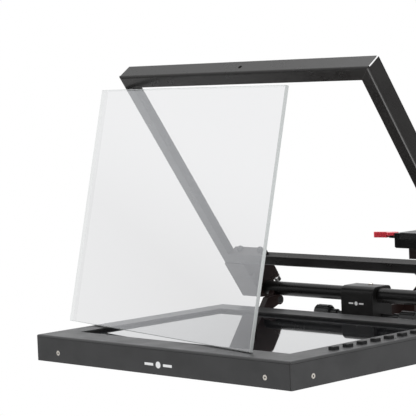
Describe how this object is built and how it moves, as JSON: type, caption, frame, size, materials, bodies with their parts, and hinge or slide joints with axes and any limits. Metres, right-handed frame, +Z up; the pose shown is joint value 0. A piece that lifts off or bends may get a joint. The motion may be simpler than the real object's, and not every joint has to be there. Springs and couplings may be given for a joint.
{
  "type": "teleprompter",
  "caption": "Teleprompter: flat monitor, tilting mirror frame on a cross tube, loose beamsplitter glass and camera riser with quick-release deck on a slotted sled rail.",
  "frame": {"origin": "mouth of the middle tripod thread, in the underside of the base", "axes": "+Z up, -Y towards the speaker, +X to the right as seen from the front"},
  "size_m": [0.4116, 0.6, 0.3233],
  "materials": {
    "black_anodised": "satin black anodised aluminium",
    "rail_anodised": "matt black anodised extrusion",
    "chassis_paint": "fine black powder coat on sheet steel",
    "knob_plastic": "moulded black knob",
    "plugs": "black moulded plugs",
    "button_plastic": "glossy black keys",
    "bright_screws": "zinc plated screws",
    "black_screws": "black oxide screws",
    "post_metal": "clear anodised post",
    "felt": "black felt strips",
    "beamsplitter": "half-silvered beamsplitter glass",
    "screen_glass": "glossy screen cover glass",
    "screen_black": "screen module and gasket",
    "inner_steel": "plain steel inside the monitor",
    "board": "green circuit board",
    "standoff_brass": "brass spacers",
    "inlet_plastic": "power inlet",
    "lever_red": "red anodised lever",
    "plate_metal": "satin grey plate with a light top",
    "camera_screw_steel": "bright camera screw"
  },
  "bodies": {
    "base": {"base_block": "rail_anodised"},
    "base_knob": {"base_lock_knob": "knob_plastic"},
    "rail": {"sled_rail": "rail_anodised", "rail_end_caps": "plugs"},
    "front_carriage": {"centre_clamp": "black_anodised", "clamp_set_screw": "bright_screws", "cross_tube": "black_anodised", "tube_end_plugs": "plugs", "hinge_lugs": "black_anodised"},
    "clamp_knob_l": {"clamp_knob_left": "knob_plastic"},
    "clamp_knob_r": {"clamp_knob_right": "knob_plastic"},
    "mirror_frame": {"frame_top_bar": "black_anodised", "frame_leg_left": "black_anodised", "frame_leg_right": "black_anodised", "frame_crossbar": "black_anodised", "bracket_left": "black_anodised", "bracket_right": "black_anodised", "crossbar_screws": "black_screws", "bracket_clamp_screws": "black_screws", "bracket_washers": "bright_screws", "glass_pads": "felt"},
    "monitor": {"monitor_chassis": "chassis_paint", "monitor_bottom_cover": "chassis_paint", "chassis_screws": "bright_screws", "screen_gasket": "screen_black", "screen_cover_glass": "screen_glass", "lcd_module": "screen_black", "lcd_rails": "inner_steel", "main_board": "board", "board_standoffs": "standoff_brass", "button_board": "board", "connector_sockets": "inner_steel", "power_inlet": "inlet_plastic", "monitor_arm_left": "black_anodised", "monitor_arm_right": "black_anodised", "arm_foot_screws": "bright_screws", "arm_pivot_bolts": "bright_screws"},
    "glass": {"beamsplitter_glass": "beamsplitter"},
    "riser": {"riser_carriage": "black_anodised", "riser_post": "post_metal"},
    "riser_knob": {"riser_lock_knob": "knob_plastic"},
    "deck": {"riser_head": "black_anodised", "quick_release_base": "black_anodised", "deck_screws": "black_screws"},
    "height_knob": {"height_lock_knob": "knob_plastic"},
    "lever": {"quick_release_lever": "lever_red"},
    "plate": {"camera_plate": "plate_metal"},
    "screw": {"camera_screw": "camera_screw_steel"},
    "key_1": {"button_1": "button_plastic"},
    "key_2": {"button_2": "button_plastic"},
    "key_3": {"button_3": "button_plastic"},
    "key_4": {"button_4": "button_plastic"},
    "key_5": {"button_5": "button_plastic"},
    "key_6": {"button_6": "button_plastic"},
    "key_7": {"button_7": "button_plastic"}
  },
  "joints": [
    {"name": "base_knob_turn", "type": "hinge", "parent": "base", "child": "base_knob", "pos_m": [-0.02, 0, 0.039], "axis": [-1, 0, 0], "continuous": true},
    {"name": "rail_slide", "type": "slide", "parent": "base", "child": "rail", "axis": [0, 1, 0], "range_m": [-0.006, 0.022]},
    {"name": "carriage_slide", "type": "slide", "parent": "rail", "child": "front_carriage", "axis": [0, -1, 0], "range_m": [0, 0.012]},
    {"name": "clamp_knob_left_turn", "type": "hinge", "parent": "front_carriage", "child": "clamp_knob_l", "pos_m": [-0.02, -0.07, 0.039], "axis": [-1, 0, 0], "continuous": true},
    {"name": "clamp_knob_right_turn", "type": "hinge", "parent": "front_carriage", "child": "clamp_knob_r", "pos_m": [0.02, -0.07, 0.039], "axis": [1, 0, 0], "continuous": true},
    {"name": "frame_tilt", "type": "hinge", "parent": "front_carriage", "child": "mirror_frame", "pos_m": [0, -0.0715, 0.062], "axis": [-1, 0, 0], "range_deg": [0, 60]},
    {"name": "monitor_tilt", "type": "hinge", "parent": "front_carriage", "child": "monitor", "pos_m": [0, -0.079, 0.05], "axis": [1, 0, 0], "range_deg": [0, 15]},
    {"name": "glass_lift", "type": "slide", "parent": "monitor", "child": "glass", "axis": [0, -0.5736, 0.8192], "range_m": [0, 0.3]},
    {"name": "key_1_press", "type": "slide", "parent": "monitor", "child": "key_1", "axis": [0, 0, -1], "range_m": [0, 0.0008], "stiffness_N_per_m": 800, "springref_m": -0.0005},
    {"name": "key_2_press", "type": "slide", "parent": "monitor", "child": "key_2", "axis": [0, 0, -1], "range_m": [0, 0.0008], "stiffness_N_per_m": 800, "springref_m": -0.0005},
    {"name": "key_3_press", "type": "slide", "parent": "monitor", "child": "key_3", "axis": [0, 0, -1], "range_m": [0, 0.0008], "stiffness_N_per_m": 800, "springref_m": -0.0005},
    {"name": "key_4_press", "type": "slide", "parent": "monitor", "child": "key_4", "axis": [0, 0, -1], "range_m": [0, 0.0008], "stiffness_N_per_m": 800, "springref_m": -0.0005},
    {"name": "key_5_press", "type": "slide", "parent": "monitor", "child": "key_5", "axis": [0, 0, -1], "range_m": [0, 0.0008], "stiffness_N_per_m": 800, "springref_m": -0.0005},
    {"name": "key_6_press", "type": "slide", "parent": "monitor", "child": "key_6", "axis": [0, 0, -1], "range_m": [0, 0.0008], "stiffness_N_per_m": 800, "springref_m": -0.0005},
    {"name": "key_7_press", "type": "slide", "parent": "monitor", "child": "key_7", "axis": [0, 0, -1], "range_m": [0, 0.0008], "stiffness_N_per_m": 800, "springref_m": -0.0005},
    {"name": "riser_slide", "type": "slide", "parent": "rail", "child": "riser", "axis": [0, 1, 0], "range_m": [-0.006, 0.09]},
    {"name": "riser_knob_turn", "type": "hinge", "parent": "riser", "child": "riser_knob", "pos_m": [0.02, 0.073, 0.039], "axis": [1, 0, 0], "continuous": true},
    {"name": "height_slide", "type": "slide", "parent": "riser", "child": "deck", "axis": [0, 0, 1], "range_m": [0, 0.02]},
    {"name": "height_knob_turn", "type": "hinge", "parent": "deck", "child": "height_knob", "pos_m": [-0.012, 0.073, 0.075], "axis": [-1, 0, 0], "continuous": true},
    {"name": "lever_turn", "type": "hinge", "parent": "deck", "child": "lever", "pos_m": [-0.0375, 0.026, 0.11785], "axis": [0, 0, -1], "range_deg": [0, 90]},
    {"name": "plate_slide", "type": "slide", "parent": "deck", "child": "plate", "axis": [0, 1, 0], "range_m": [-0.03, 0.03]},
    {"name": "camera_screw_turn", "type": "hinge", "parent": "plate", "child": "screw", "pos_m": [0, 0.066, 0.115], "axis": [0, 0, 1], "continuous": true}
  ]
}
